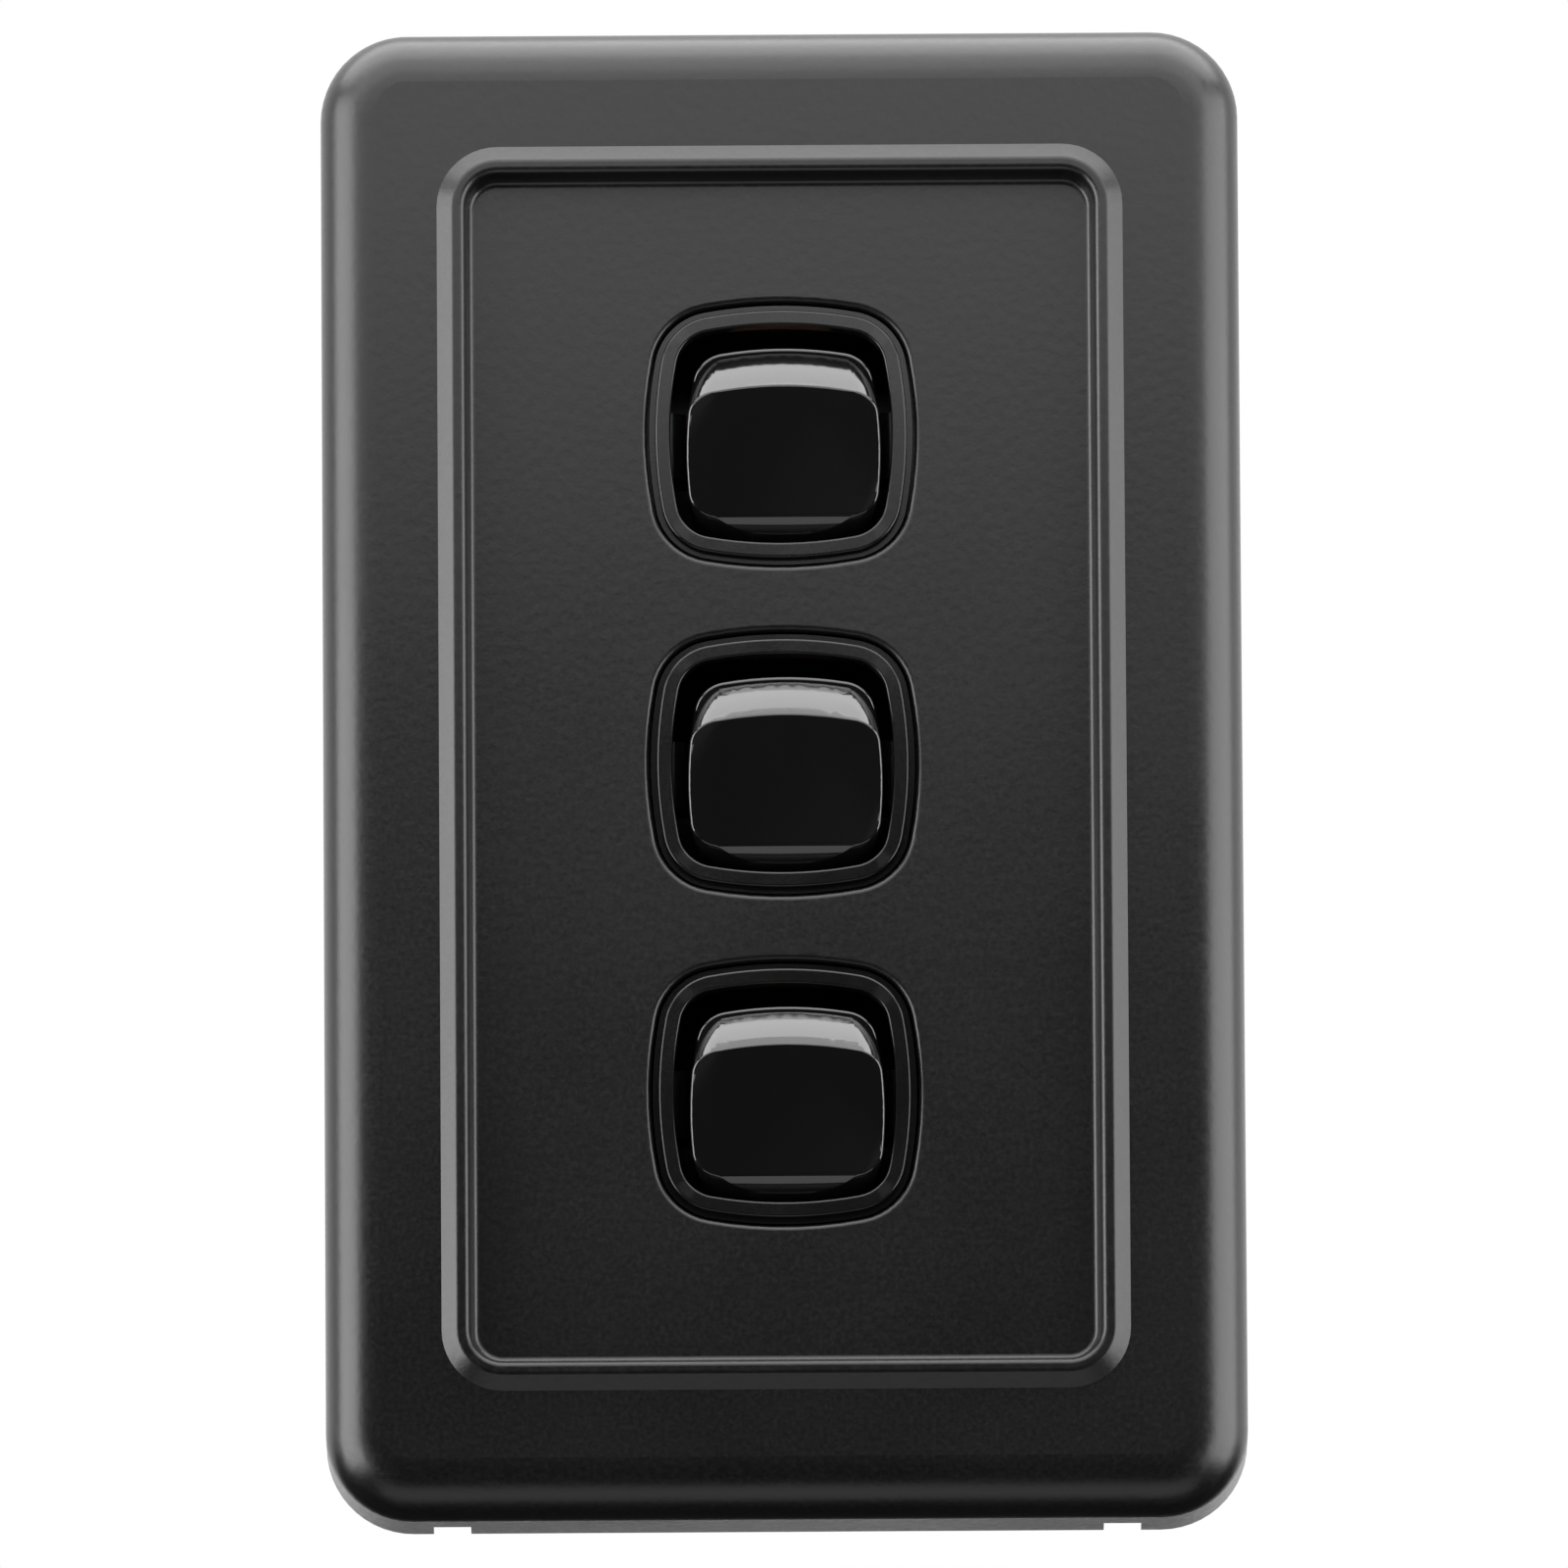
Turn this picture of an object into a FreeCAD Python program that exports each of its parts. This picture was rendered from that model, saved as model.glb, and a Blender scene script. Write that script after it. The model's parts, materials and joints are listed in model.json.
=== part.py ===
import FreeCAD, Part
import math
import os
import re

import Sketcher
from FreeCAD import Placement, Rotation, Vector

# A three-gang rocker light switch with a clip-on pressed metal cover, in millimetres.
# The origin is at the middle of the plate, in the plane of the wall. X points right, the front
# faces -Y, Z points up. "Forward" in the notes below means towards -Y.

SIZES = {
    # Cover plate
    "cover_width": 71.5,
    "cover_height": 117.2,
    "cover_corner": 6.75,
    "cover_depth": 10.5,
    "shoulder": 4.3,
    "sheet_metal": 0.9,
    # Recessed panel of the cover and the raised bead round it
    "panel_width": 47.5,
    "panel_height": 92.2,
    "panel_corner": 1.8,
    "panel_drop": 1.8,
    "bead_width": 2.95,
    "bead_rise": 0.85,
    "bead_inner": 1.25,
    "bead_flat": 0.3,
    "bead_crown": 0.5,
    "bead_ramp": 34,
    "bead_nose": 0.5,
    "bead_slope": 82,
    "bead_root": 0.5,
    # Openings of the cover, each a square with bowed sides and rounded corners
    "opening_half": 10.45,
    "opening_bow": 33,
    "opening_corner": 4.9,
    "opening_edge": 0.45,
    # Notches in the lower skirt, for a screwdriver that pries the cover off
    "notch_place": 26,
    "notch_width": 2.9,
    "notch_depth": 3.4,
    # Where the three switch mechanisms sit
    "pitch": 26,
    "group_shift": 0.55,
    # Grid plate
    "grid_width": 68,
    "grid_height": 113.7,
    "grid_corner": 5.4,
    "grid_rim": 4,
    "grid_rim_width": 1.5,
    "grid_floor": 2.4,
    "grid_hole_width": 20.4,
    "grid_hole_height": 21.4,
    "screw_centres": 84,
    "screw_hole": 2.1,
    "screw_slot": 1.3,
    # Mounting screws
    "screw_radius": 1.75,
    "screw_neck": 1.4,
    "screw_head_radius": 3.2,
    "screw_head_height": 2,
    "screw_length": 28,
    "screw_cross": 0.8,
    "screw_cross_depth": 0.9,
    # Cover clips
    "clip_metal": 0.3,
    "clip_reach": 0.5,
    "clip_length": 6,
    "clip_place": 30,
    # Bezel
    "bezel_front": 8.75,
    "bezel_step": 8.0,
    "bezel_lip": 7.0,
    "bezel_flange": 3.6,
    "bezel_flange_half": 12,
    "bezel_flange_corner": 1.5,
    "bezel_face_half": 9.8,
    "bezel_face_corner": 4.3,
    "bezel_body_half": 10.25,
    "bezel_body_corner": 4.7,
    "bezel_mouth_half": 8.6,
    "bezel_mouth_corner": 2.9,
    "bezel_mouth_bow": 32,
    "bezel_relief_half": 9.55,
    "bezel_relief_corner": 4.0,
    "bezel_edge": 0.2,
    "ear_inner": 7.3,
    "ear_outer": 8.8,
    "ear_root": 9.6,
    "ear_half": 2.6,
    "ear_back": 1.6,
    "ear_rounding": 1.4,
    # Rocker, measured from its pivot
    "pivot_depth": -0.6,
    "tilt": 11,
    "side_rest": 0.2,
    "rocker_face": 9.4,
    "rocker_face_half": 5.31,
    "rocker_face_corner": 2.3,
    "rocker_half": 7.58,
    "rocker_bow": 30,
    "rocker_edge": 0.25,
    "lip_start": 4.6,
    "lip_roll": 0.8,
    "lip_slope": 32,
    "lip_drop": 0.8,
    "flank_depth": 6.9,
    "flank_half": 7.75,
    "flank_corner": 2.3,
    "flank_inset": 0.15,
    # The flanks swell a little between foot and face
    "swell_depth": 8.25,
    "swell_half": 6.6,
    "swell_inset": 0.06,
    "rim_depth": 6.65,
    "rim_back": 5.7,
    "rim_half": 8.2,
    "rim_corner": 2.7,
    "rim_edge": 0.3,
    "rocker_wall": 1.4,
    "rocker_crown_wall": 1.6,
    "cheek_inner": 5.2,
    "cheek_outer": 7.0,
    "cheek_half": 2.0,
    "cheek_back": 1.5,
    "cheek_overlap": 3,
    "skirt_reach": 9,
    "pin_radius": 1.0,
    "pin_end": 8.5,
    "pin_play": 0.05,
    "stem_radius": 2.4,
    "stem_end": 4,
    "stem_bore": 1.45,
    "stem_bore_front": 6.2,
    # Plunger and its spring, in the stem
    "plunger_radius": 1.35,
    "plunger_start": 0.6,
    "plunger_end": 7,
    "spring_hollow": 0.95,
    # See-saw contact, measured from its own pivot line
    "fulcrum_depth": 7.8,
    "fulcrum_radius": 0.5,
    "fulcrum_half": 2.6,
    "contact_tilt": 5,
    "contact_play": 0.05,
    "contact_metal": 0.8,
    "contact_half_width": 2.5,
    "contact_half_length": 7.7,
    "silver_radius": 1.4,
    "silver_place": 6.1,
    "silver_height": 0.5,
    # Fixed contacts and terminals
    "fixed_front": 8.45,
    "strip_front": 9.0,
    "housing_floor": 9.9,
    "strip_half": 1.5,
    "strip_end": 1.6,
    "common_start": 2.6,
    "terminal_x": 5.3,
    "terminal_z": 5.4,
    "terminal_half": 3.2,
    "wire_bore": 2.05,
    "wire_depth": 8,
    "clamp_depth": 15,
    "clamp_radius": 1.25,
    "clamp_gap": 0.1,
    "clamp_head": 1.35,
    # Barrier, an insulating plate over the brass strips with a window for the see-saw contact
    "barrier_front": 8.0,
    "barrier_gap": 0.05,
    "barrier_window_width": 6.4,
    "barrier_window_height": 16.8,
    # Housing
    "housing_half_width": 10,
    "housing_half_height": 10.5,
    "housing_wall": 1.1,
    "housing_back": 20,
    "terminal_gap": 0.05,
    "access_radius": 1.6,
    "lug_reach": 0.7,
    "lug_gap": 0.05,
    "lug_height": 1.5,
    "lug_half": 3,
    "lug_room": 0.15,
}

MECHANISMS = {"top": 1, "middle": 0, "bottom": -1}
SIDES = (("left", -1), ("right", 1))
ENDS = (("upper", 1), ("lower", -1))
CLAMPS = (("one", -1, 1), ("two", -1, -1), ("common", 1, -1), ("loop", 1, 1))
EXACT = 1e-4

doc = FreeCAD.newDocument("three_gang_switch")
sheet = doc.addObject("Spreadsheet::Sheet", "Sizes")
for row, (alias, value) in enumerate(SIZES.items(), start=1):
    sheet.set(f"A{row}", alias)
    sheet.set(f"B{row}", str(value))
    sheet.setAlias(f"B{row}", alias)
doc.recompute()


# ---- Helpers: formulas, sketches and features --------------------------------------------------


def cell(word):
    return f"Sizes.{word.group()}" if word.group() in SIZES else word.group()


def formula(text):
    """The text with every size named as a cell of the sheet."""
    return re.sub(r"[a-z][a-z_]+", cell, text)


def number(text):
    """What a formula comes to."""
    return float(sheet.evalExpression(formula(text)))


def bind(item, name, text):
    item.setExpression(name, formula(text))


def new_body(label):
    body = doc.addObject("PartDesign::Body", label)
    body.Label = label
    return body


def plane(body, role):
    return next(item for item in body.Origin.OriginFeatures if item.Role == role)


def new_sketch(body, name, role="XZ_Plane", forward="0"):
    """A sketch on an origin plane of its own body, moved along the plane's normal."""
    sketch = body.newObject("Sketcher::SketchObject", name)
    sketch.AttachmentSupport = [(plane(body, role), "")]
    sketch.MapMode = "FlatFace"
    if forward != "0":
        bind(sketch, ".AttachmentOffset.Base.z", forward)
    return sketch


def hold(sketch, kind, *where, value=None):
    """Adds one constraint, bound to a formula when it has a value."""
    if value is None:
        sketch.addConstraint(Sketcher.Constraint(kind, *where))
        return
    index = sketch.addConstraint(Sketcher.Constraint(kind, *where, number(value)))
    bind(sketch, f"Constraints[{index}]", value)


def hold_point(sketch, side, end, across, up):
    """Fixes one point of a sketch by its two distances from the origin."""
    for kind, place in (("DistanceX", across), ("DistanceY", up)):
        hold(sketch, kind, -1, 1, side, end, value=place)


def draw_loop(sketch, places, radii):
    """Draws a closed loop, counter-clockwise. A side with a radius is an arc that bulges outwards,
    or inwards where the radius is negative. Returns each side with its first and last point."""
    sides = []
    for index, (start, radius) in enumerate(zip(places, radii)):
        end = places[(index + 1) % len(places)]
        if radius is None:
            sides.append((sketch.addGeometry(Part.LineSegment(start, end)), 1, 2))
            continue
        chord = end - start
        inward = Vector(-chord.y, chord.x, 0).normalize() * math.copysign(1, radius)
        centre = (start + end) / 2 + inward * math.sqrt(radius**2 - (chord.Length / 2) ** 2)
        ends = (start, end) if radius > 0 else (end, start)
        angles = [math.atan2(point.y - centre.y, point.x - centre.x) for point in ends]
        circle = Part.Circle(centre, Vector(0, 0, 1), abs(radius))
        arc = sketch.addGeometry(Part.ArcOfCircle(circle, *angles))
        sides.append((arc, 1, 2) if radius > 0 else (arc, 2, 1))
    return sides


def outline(sketch, corners):
    """A closed loop whose corners are given. Each is (across, up), or (across, up, radius) where
    the side that leaves it is an arc."""
    places = [Vector(number(corner[0]), number(corner[1]), 0) for corner in corners]
    radii = [number(corner[2]) if len(corner) == 3 else None for corner in corners]
    sides = draw_loop(sketch, places, radii)
    for index, (corner, (side, first, last)) in enumerate(zip(corners, sides)):
        following, its_first, _ = sides[(index + 1) % len(sides)]
        hold(sketch, "Coincident", side, last, following, its_first)
        hold_point(sketch, side, first, corner[0], corner[1])
        if len(corner) == 3:
            hold(sketch, "Radius", side, value=corner[2].lstrip("-"))


def rectangle(sketch, left, right, low, high):
    outline(sketch, [(left, low), (right, low), (right, high), (left, high)])


def rounded_rectangle(sketch, half_width, half_height, radius):
    wide, tall = f"({half_width})", f"({half_height})"
    in_x, in_y = f"({wide} - ({radius}))", f"({tall} - ({radius}))"
    outline(sketch, [
        (wide, f"-{in_y}"),
        (wide, in_y, radius),
        (in_x, tall),
        (f"-{in_x}", tall, radius),
        (f"-{wide}", in_y),
        (f"-{wide}", f"-{in_y}", radius),
        (f"-{in_x}", f"-{tall}"),
        (in_x, f"-{tall}", radius),
    ])


def bowed_square(sketch, half_width, half_height, bow, corner, level="0"):
    """A loop of four gently bowed sides and four rounded corners, each tangent to the next."""
    side_x, side_y = f"({bow} - ({half_width}))", f"({bow} - ({half_height}))"
    reach_x, reach_y, large, small = (number(text) for text in (side_x, side_y, bow, corner))
    # The centre of a rounded corner is as far from both neighbouring side centres as the radii differ.
    slope = reach_x / reach_y
    offset = (reach_x**2 - reach_y**2) / (2 * reach_y)
    square = 1 + slope**2
    linear = reach_x + slope * offset
    rest = reach_x**2 + offset**2 - (large - small) ** 2
    centre_x = (math.sqrt(linear**2 - square * rest) - linear) / square
    centre_y = slope * centre_x + offset
    stretch = large / (large - small)
    low_x, low_y = (centre_x + reach_x) * stretch - reach_x, centre_y * stretch
    high_x, high_y = centre_x * stretch, (centre_y + reach_y) * stretch - reach_y
    quarter = [(low_x, low_y), (high_x, high_y)]
    upper = quarter + [(-x, y) for x, y in reversed(quarter)]
    places = [Vector(x, y + number(level), 0) for x, y in upper + [(-x, -y) for x, y in upper]]
    rounds, bows = [0, 2, 4, 6], [1, 3, 5, 7]
    sides = [side for side, _, _ in draw_loop(sketch, places, [small, large] * len(rounds))]
    for index, side in enumerate(sides):
        hold(sketch, "Tangent", side, 2, sides[(index + 1) % len(sides)], 1)
    for group, radius in ((rounds, corner), (bows, bow)):
        hold(sketch, "Radius", sides[group[0]], value=radius)
        for index in group[1:]:
            hold(sketch, "Equal", sides[group[0]], sides[index])
    below, above = ("0", f"{level} - {side_y}"), ("0", f"{level} + {side_y}")
    centres = (below, (side_x, level), above, (f"-{side_x}", level))
    for index, (across, up) in zip(bows, centres):
        hold_point(sketch, sides[index], 3, across, up)


def add_pad(body, sketch, length, name, both_ways=False):
    feature = body.newObject("PartDesign::Pad", name)
    feature.Profile = sketch
    feature.Midplane = both_ways
    bind(feature, "Length", length)
    doc.recompute()
    return feature


def add_pocket(body, sketch, length, name, forward=False, both_ways=False):
    """Cuts backwards from the sketch, or forwards; a pocket that removes nothing is an error."""
    before = body.Shape.Volume
    feature = body.newObject("PartDesign::Pocket", name)
    feature.Profile = sketch
    feature.Reversed = forward
    feature.Midplane = both_ways
    bind(feature, "Length", length)
    doc.recompute()
    if not body.Shape.Volume < before:
        raise ValueError(f"{name} cuts nothing")
    return feature


def round_edges(body, radius, name, chosen):
    """Fillets every edge of the body's last feature that the test picks out."""
    base = body.Tip
    feature = body.newObject("PartDesign::Fillet", name)
    names = [f"Edge{i}" for i, edge in enumerate(base.Shape.Edges, start=1) if chosen(edge)]
    feature.Base = (base, names)
    bind(feature, "Radius", radius)
    doc.recompute()
    return feature


def block(body, name, x, y, z, cut=False):
    """A box between pairs of formulas along each axis, added to the body or cut from it."""
    kind = "Subtractive" if cut else "Additive"
    feature = body.newObject(f"PartDesign::{kind}Box", name)
    for axis, side, (low, high) in zip("xyz", ("Length", "Width", "Height"), (x, y, z)):
        bind(feature, side, f"({high}) - ({low})")
        bind(feature, f".Placement.Base.{axis}", low)
    return feature


AXES = {"x": Rotation(Vector(0, 1, 0), 90), "y": Rotation(Vector(1, 0, 0), -90)}


def rod(body, name, axis, radius, span, place, cut=False):
    """A round bar along x or y between the two formulas of span, through the given x, y, z."""
    kind = "Subtractive" if cut else "Additive"
    feature = body.newObject(f"PartDesign::{kind}Cylinder", name)
    feature.Placement = Placement(Vector(), AXES[axis])
    bind(feature, "Radius", radius)
    bind(feature, "Height", f"({span[1]}) - ({span[0]})")
    place = dict(zip("xyz", place))
    place[axis] = span[0]
    for direction, where in place.items():
        bind(feature, f".Placement.Base.{direction}", where)
    return feature


def set_place(body, x="0", y="0", z="0", turn=None):
    """Puts a finished body at its place, turned about X by a formula in degrees."""
    if turn is not None:
        body.Placement = Placement(Vector(), Rotation(Vector(1, 0, 0), number(turn)))
        bind(body, ".Placement.Rotation.Angle", turn)
    for direction, where in (("x", x), ("y", y), ("z", z)):
        bind(body, f".Placement.Base.{direction}", where)


def along(sign, low, high):
    """A span on the positive side, or its mirror image."""
    return (low, high) if sign > 0 else (f"-({high})", f"-({low})")


def level_of(mechanism):
    return f"group_shift + {MECHANISMS[mechanism]} * pitch"


def at_depth(depth):
    """A test for edges that lie wholly in the plane y = -depth."""
    return lambda edge: max(abs(edge.BoundBox.YMin + depth), abs(edge.BoundBox.YMax + depth)) < EXACT


# ---- Cover plate ---------------------------------------------------------------------------------


def make_cover():
    """Pressed sheet: a rounded tray, a recessed panel inside a raised bead, three openings."""
    body = new_body("cover_plate")
    half_width, half_height = "cover_width / 2", "cover_height / 2"
    outside = new_sketch(body, "cover_outline")
    rounded_rectangle(outside, half_width, half_height, "cover_corner")
    add_pad(body, outside, "cover_depth", "cover_block")
    round_edges(body, "shoulder", "cover_shoulder", at_depth(number("cover_depth")))

    solid = body.Tip
    rear = [f"Face{i}" for i, face in enumerate(solid.Shape.Faces, start=1) if face.BoundBox.YMin > -EXACT]
    hollow = body.newObject("PartDesign::Thickness", "cover_hollow")
    hollow.Base = (solid, rear)
    hollow.Reversed = True
    bind(hollow, "Value", "sheet_metal")
    doc.recompute()

    panel_back = "cover_depth - panel_drop - sheet_metal"
    behind = new_sketch(body, "panel_behind", forward=panel_back)
    rounded_rectangle(
        behind,
        "panel_width / 2 + sheet_metal",
        "panel_height / 2 + sheet_metal",
        "panel_corner + sheet_metal",
    )
    add_pad(body, behind, "panel_drop", "panel_sheet")
    front = new_sketch(body, "panel_front", forward="cover_depth")
    rounded_rectangle(
        front,
        "panel_width / 2 + sheet_metal",
        "panel_height / 2 + sheet_metal",
        "panel_corner + sheet_metal",
    )
    add_pocket(body, front, "panel_drop", "panel_recess")
    add_bead(body)

    openings = new_sketch(body, "openings", forward="cover_depth")
    for mechanism in MECHANISMS:
        level = level_of(mechanism)
        bowed_square(openings, "opening_half", "opening_half", "opening_bow", "opening_corner", level)
    add_pocket(body, openings, "cover_depth", "panel_openings")
    panel_depth = number("cover_depth - panel_drop")
    reach = number("panel_width / 2 - bead_width")
    in_panel = at_depth(panel_depth)
    round_edges(
        body,
        "opening_edge",
        "opening_rounding",
        lambda edge: in_panel(edge) and edge.BoundBox.XMax < reach and edge.BoundBox.XMin > -reach,
    )

    for side, sign in SIDES:
        block(
            body,
            f"pry_notch_{side}",
            along(sign, "notch_place - notch_width / 2", "notch_place + notch_width / 2"),
            ("-notch_depth", "notch_depth"),
            ("-cover_height / 2 - sheet_metal", "-cover_height / 2 + 2 * sheet_metal"),
            cut=True,
        )
    doc.recompute()


def add_bead(body):
    """The raised bead: its section, swept round the foot of the panel's wall."""
    path = new_sketch(body, "bead_path", forward="cover_depth - panel_drop")
    half_width, half_height = "(panel_width / 2)", "(panel_height / 2)"
    in_x, in_y = f"({half_width} - panel_corner)", f"({half_height} - panel_corner)"
    outline(path, [
        (half_width, "0"),
        (half_width, in_y, "panel_corner"),
        (in_x, half_height),
        (f"-{in_x}", half_height, "panel_corner"),
        (f"-{half_width}", in_y),
        (f"-{half_width}", f"-{in_y}", "panel_corner"),
        (f"-{in_x}", f"-{half_height}"),
        (in_x, f"-{half_height}", "panel_corner"),
        (half_width, f"-{in_y}"),
    ])
    section = new_sketch(body, "bead_section", role="XY_Plane")
    foot = "panel_width / 2"
    panel = "-(cover_depth - panel_drop)"
    rim = "-cover_depth"
    crest_x = f"({foot} + bead_inner)"
    crest_y = "-(cover_depth + bead_rise)"
    wall_x = f"({foot} + bead_root * sin(bead_slope * 1 deg))"
    wall_y = f"({panel} - bead_root * (1 - cos(bead_slope * 1 deg)))"
    nose_x = f"({crest_x} - bead_nose * sin(bead_slope * 1 deg))"
    nose_y = f"({crest_y} + bead_nose * (1 - cos(bead_slope * 1 deg)))"
    ramp_x = f"({crest_x} + bead_flat + bead_crown * sin(bead_ramp * 1 deg))"
    ramp_y = f"({crest_y} + bead_crown * (1 - cos(bead_ramp * 1 deg)))"
    root = "sheet_metal / 2"
    outline(section, [
        (foot, panel, "-bead_root"),
        (wall_x, wall_y),
        (nose_x, nose_y, "bead_nose"),
        (crest_x, crest_y),
        (f"({crest_x} + bead_flat)", crest_y, "bead_crown"),
        (ramp_x, ramp_y),
        (f"{foot} + bead_width", rim),
        (f"{foot} + bead_width", f"{rim} + {root}"),
        (f"{foot} + 2 * {root}", f"{rim} + {root}"),
        (f"{foot} + 2 * {root}", f"{panel} + {root}"),
        (foot, f"{panel} + {root}"),
    ])
    pipe = body.newObject("PartDesign::AdditivePipe", "bead")
    pipe.Profile = section
    pipe.Spine = (path, [])
    doc.recompute()


# ---- Grid plate, its screws and the cover's clips -------------------------------------------------


def make_grid():
    """Moulded plate screwed to the wall box; a rim round a floor with three openings."""
    body = new_body("grid_plate")
    half_width, half_height = "grid_width / 2", "grid_height / 2"
    outside = new_sketch(body, "grid_outline")
    rounded_rectangle(outside, half_width, half_height, "grid_corner")
    add_pad(body, outside, "grid_rim", "grid_block")
    inside = new_sketch(body, "grid_inside", forward="grid_rim")
    rounded_rectangle(
        inside,
        f"{half_width} - grid_rim_width",
        f"{half_height} - grid_rim_width",
        "grid_corner - grid_rim_width",
    )
    add_pocket(body, inside, "grid_rim - grid_floor", "grid_tray")
    through = ("-grid_rim", "grid_rim")
    for mechanism in MECHANISMS:
        level = level_of(mechanism)
        block(
            body,
            f"grid_opening_{mechanism}",
            ("-grid_hole_width / 2", "grid_hole_width / 2"),
            through,
            (f"{level} - grid_hole_height / 2", f"{level} + grid_hole_height / 2"),
            cut=True,
        )
        room = "(housing_half_width + lug_reach + lug_room)"
        reach = "(lug_half + lug_room)"
        block(
            body,
            f"lug_pocket_{mechanism}",
            (f"-{room}", room),
            ("-2 * lug_gap - lug_height", "1"),
            (f"{level} - {reach}", f"{level} + {reach}"),
            cut=True,
        )
    # The upper fixing hole is round, the lower one is a slot.
    rod(body, "fixing_hole", "y", "screw_hole", through, ("0", "0", "screw_centres / 2"), cut=True)
    for side, sign in SIDES:
        end = (f"{sign} * screw_slot", "0", "-screw_centres / 2")
        rod(body, f"fixing_slot_{side}", "y", "screw_hole", through, end, cut=True)
    block(
        body,
        "fixing_slot",
        ("-screw_slot", "screw_slot"),
        through,
        ("-screw_centres / 2 - screw_hole", "-screw_centres / 2 + screw_hole"),
        cut=True,
    )


def make_mounting_screws():
    """Two captive pan-head screws into the wall box; each neck is thin where it crosses the grid plate."""
    body = new_body("mounting_screws")
    top = "-grid_floor - screw_head_height"
    for end, sign in ENDS:
        middle = f"{sign} * screw_centres / 2"
        rod(body, f"{end}_neck", "y", "screw_neck", ("-grid_floor", "0"), ("0", "0", middle))
        rod(body, f"{end}_shank", "y", "screw_radius", ("0", "screw_length"), ("0", "0", middle))
        rod(body, f"{end}_head", "y", "screw_head_radius", (top, "-grid_floor"), ("0", "0", middle))
        slot = "(screw_cross / 2)"
        arm = "(screw_head_radius * 0.7)"
        depth = (f"{top} - 1", f"{top} + screw_cross_depth")
        for name, across, up in (("flat", arm, slot), ("upright", slot, arm)):
            span = (f"{middle} - {up}", f"{middle} + {up}")
            block(body, f"{end}_cross_{name}", (f"-{across}", across), depth, span, cut=True)


def make_clips():
    """Four strip springs that saddle the grid's rim and grip the inside of the cover's skirt."""
    body = new_body("cover_clips")
    rim_outer = "(grid_width / 2)"
    rim_inner = f"({rim_outer} - grid_rim_width)"
    reach = f"({rim_outer} + clip_reach)"
    crown = ("-grid_rim - clip_metal", "-grid_rim")
    for side, sign in SIDES:
        for end, up in ENDS:
            span = (f"{up} * clip_place - clip_length / 2", f"{up} * clip_place + clip_length / 2")
            for name, inner, outer, depth in (
                ("crown", f"{rim_inner} - clip_metal", reach, crown),
                ("inner_leg", f"{rim_inner} - clip_metal", rim_inner, (crown[0], "-grid_floor")),
                ("outer_leg", f"{reach} - clip_metal", reach, (crown[0], "-grid_floor / 2")),
            ):
                block(body, f"clip_{name}_{side}_{end}", along(sign, inner, outer), depth, span)


# ---- One switch mechanism ----------------------------------------------------------------------


def make_bezel(mechanism):
    """The visible ring, the body behind it, a flange on the grid and two ears for the rocker's pins."""
    body = new_body(f"bezel_{mechanism}")
    core = new_sketch(body, f"bezel_core_{mechanism}", forward="bezel_flange")
    bowed_square(core, "bezel_body_half", "bezel_body_half", "opening_bow", "bezel_body_corner")
    add_pad(body, core, "bezel_step - bezel_flange", f"bezel_tube_{mechanism}")
    face = new_sketch(body, f"bezel_face_{mechanism}", forward="bezel_step")
    bowed_square(face, "bezel_face_half", "bezel_face_half", "opening_bow", "bezel_face_corner")
    add_pad(body, face, "bezel_front - bezel_step", f"bezel_ring_{mechanism}")
    flange = new_sketch(body, f"bezel_foot_{mechanism}", forward="grid_floor")
    rounded_rectangle(flange, "bezel_flange_half", "bezel_flange_half", "bezel_flange_corner")
    add_pad(body, flange, "bezel_flange - grid_floor", f"bezel_flange_{mechanism}")
    mouth = new_sketch(body, f"bezel_mouth_{mechanism}", forward="bezel_front")
    bowed_square(mouth, "bezel_mouth_half", "bezel_mouth_half", "bezel_mouth_bow", "bezel_mouth_corner")
    add_pocket(body, mouth, "bezel_front", f"bezel_opening_{mechanism}")
    relief = new_sketch(body, f"bezel_inside_{mechanism}")
    bowed_square(relief, "bezel_relief_half", "bezel_relief_half", "opening_bow", "bezel_relief_corner")
    add_pocket(body, relief, "bezel_lip", f"bezel_relief_{mechanism}", forward=True)
    front = at_depth(number("bezel_front"))
    round_edges(body, "bezel_edge", f"bezel_rounding_{mechanism}", front)
    height = ("-ear_half", "ear_half")
    for side, sign in SIDES:
        for name, outer, depth in (
            ("root", "ear_root", ("-bezel_flange", "-grid_floor")),
            ("ear", "ear_outer", ("-bezel_flange", "ear_back")),
        ):
            block(body, f"{name}_{side}_{mechanism}", along(sign, "ear_inner", outer), depth, height)
    doc.recompute()
    ear_front = at_depth(number("bezel_flange"))
    ear_inner = number("ear_inner")
    round_edges(
        body,
        "ear_rounding",
        f"ear_rounding_{mechanism}",
        lambda edge: ear_front(edge)
        and edge.BoundBox.XLength < EXACT
        and abs(abs(edge.BoundBox.XMin) - ear_inner) < EXACT,
    )
    reach = ("-ear_root", "ear_root")
    axis = ("0", "pivot_depth", "0")
    rod(body, f"pin_holes_{mechanism}", "x", "pin_radius + pin_play", reach, axis, cut=True)
    set_place(body, z=level_of(mechanism))


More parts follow.
